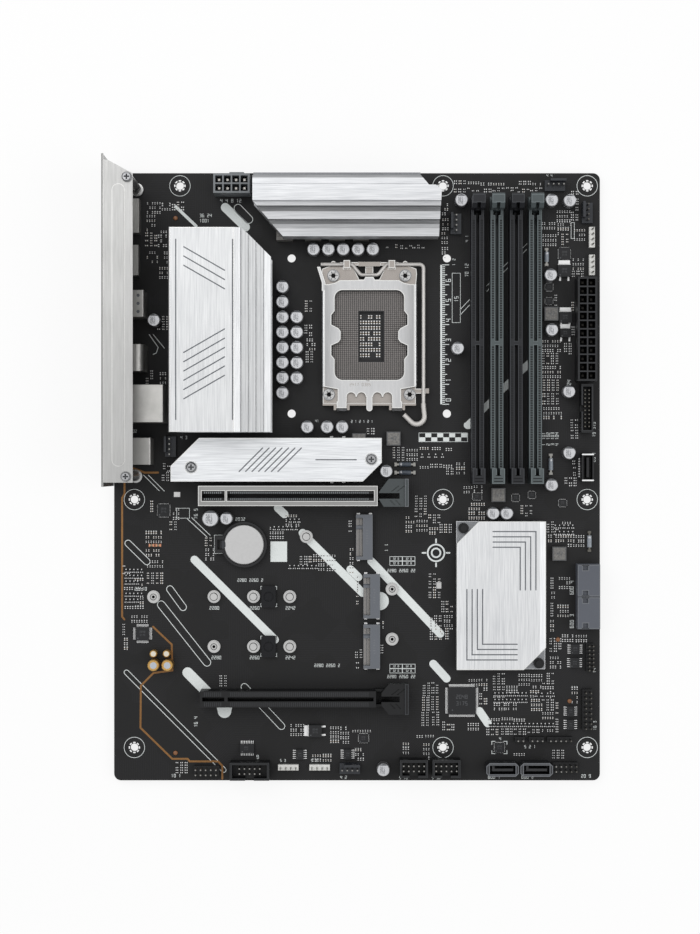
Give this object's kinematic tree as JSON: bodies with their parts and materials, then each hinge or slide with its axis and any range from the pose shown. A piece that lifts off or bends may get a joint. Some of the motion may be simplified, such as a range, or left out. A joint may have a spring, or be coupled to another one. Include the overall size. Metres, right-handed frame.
{
  "type": "desktop motherboard",
  "caption": "Full-size desktop motherboard with a lever-locked processor socket, latched memory and card slots, heat sinks and a rear connector shield.",
  "frame": {"origin": "middle of the plan outline, at the lowest point under the board", "axes": "+X from the rear connector edge to the front edge, +Y from the bottom edge to the top edge by the processor, +Z out of the component side"},
  "size_m": [0.245, 0.3078, 0.0461],
  "materials": {
    "solder_mask": "matt black solder mask",
    "shield_steel": "satin zinc plate",
    "nickel_steel": "satin nickel plate",
    "black_plastic": "satin moulded",
    "grey_plastic": "satin moulded",
    "white_plastic": "satin moulded",
    "slate_plastic": "satin moulded",
    "gold_contacts": "gold flash",
    "heatsink_aluminium": "brushed and anodised",
    "thermal_pad": "soft silicone",
    "pad_rubber": "matt rubber",
    "chip_epoxy": "moulded epoxy",
    "ferrite": "pressed iron powder",
    "can_aluminium": "drawn can",
    "gold_sleeve": "gold lacquer"
  },
  "bodies": {
    "board": {"pcb": "solder_mask", "io_shield": "shield_steel", "io_shield_standoffs": "nickel_steel", "io_shield_screws": "nickel_steel", "video_ports": "nickel_steel", "usb_stacks": "nickel_steel", "lan_usb_stack": "nickel_steel", "rear_port_tongues": "black_plastic", "cpu_power_connector": "grey_plastic", "atx_power_connector": "black_plastic", "power_pins": "gold_contacts", "vrm_heatsink_left": "heatsink_aluminium", "vrm_heatsink_top": "heatsink_aluminium", "thermal_pads": "thermal_pad", "power_stages": "chip_epoxy", "vrm_chokes": "ferrite", "vrm_screws": "nickel_steel", "polymer_capacitors": "can_aluminium", "audio_capacitors": "gold_sleeve", "cpu_socket_body": "black_plastic", "socket_frame": "nickel_steel", "socket_screws": "nickel_steel", "socket_backplate": "shield_steel", "dimm_slot_1": "black_plastic", "dimm_slot_2": "grey_plastic", "dimm_slot_3": "black_plastic", "dimm_slot_4": "grey_plastic", "m2_heatsink": "heatsink_aluminium", "m2_heatsink_screws": "nickel_steel", "m2_sockets": "slate_plastic", "m2_standoffs": "nickel_steel", "m2_rubber_pads": "pad_rubber", "pcie_slot_1": "black_plastic", "pcie_slot_1_armour": "nickel_steel", "pcie_slot_2": "black_plastic", "chipset": "chip_epoxy", "chipset_heatsink": "heatsink_aluminium", "chipset_push_pins": "black_plastic", "battery_holder": "black_plastic", "coin_cell": "nickel_steel", "sata_ports": "slate_plastic", "fan_headers": "black_plastic", "light_headers": "white_plastic", "pin_headers": "black_plastic", "header_pins": "gold_contacts", "usb3_header": "black_plastic", "usb_c_header": "nickel_steel", "chip_packages": "chip_epoxy", "power_inductors": "ferrite", "diodes": "chip_epoxy"},
    "load_plate": {"socket_load_plate": "nickel_steel"},
    "lever": {"socket_lever": "nickel_steel"},
    "memory_latch_1": {"dimm_latch_1": "black_plastic"},
    "memory_latch_2": {"dimm_latch_2": "grey_plastic"},
    "memory_latch_3": {"dimm_latch_3": "black_plastic"},
    "memory_latch_4": {"dimm_latch_4": "grey_plastic"},
    "card_latch_1": {"pcie_latch_1": "grey_plastic"},
    "card_latch_2": {"pcie_latch_2": "black_plastic"}
  },
  "joints": [
    {"name": "lever_swing", "type": "hinge", "parent": "board", "child": "lever", "pos_m": [0.0067, 0.1048, 0.0068], "axis": [-1, 0, 0], "range_deg": [0, 115]},
    {"name": "load_plate_swing", "type": "hinge", "parent": "board", "child": "load_plate", "pos_m": [0.0067, 0.0331, 0.007], "axis": [1, 0, 0], "range_deg": [0, 110]},
    {"name": "memory_latch_1_swing", "type": "hinge", "parent": "board", "child": "memory_latch_1", "pos_m": [0.06053, 0.1327, 0.0063], "axis": [-1, 0, 0], "range_deg": [0, 35]},
    {"name": "memory_latch_2_swing", "type": "hinge", "parent": "board", "child": "memory_latch_2", "pos_m": [0.07013, 0.1327, 0.0063], "axis": [-1, 0, 0], "range_deg": [0, 35]},
    {"name": "memory_latch_3_swing", "type": "hinge", "parent": "board", "child": "memory_latch_3", "pos_m": [0.07973, 0.1327, 0.0063], "axis": [-1, 0, 0], "range_deg": [0, 35]},
    {"name": "memory_latch_4_swing", "type": "hinge", "parent": "board", "child": "memory_latch_4", "pos_m": [0.08933, 0.1327, 0.0063], "axis": [-1, 0, 0], "range_deg": [0, 35]},
    {"name": "card_latch_1_swing", "type": "hinge", "parent": "board", "child": "card_latch_1", "pos_m": [0.01463, -0.01093, 0.0064], "axis": [0, 1, 0], "range_deg": [0, 25]},
    {"name": "card_latch_2_swing", "type": "hinge", "parent": "board", "child": "card_latch_2", "pos_m": [0.01463, -0.11184, 0.0064], "axis": [0, 1, 0], "range_deg": [0, 25]}
  ]
}
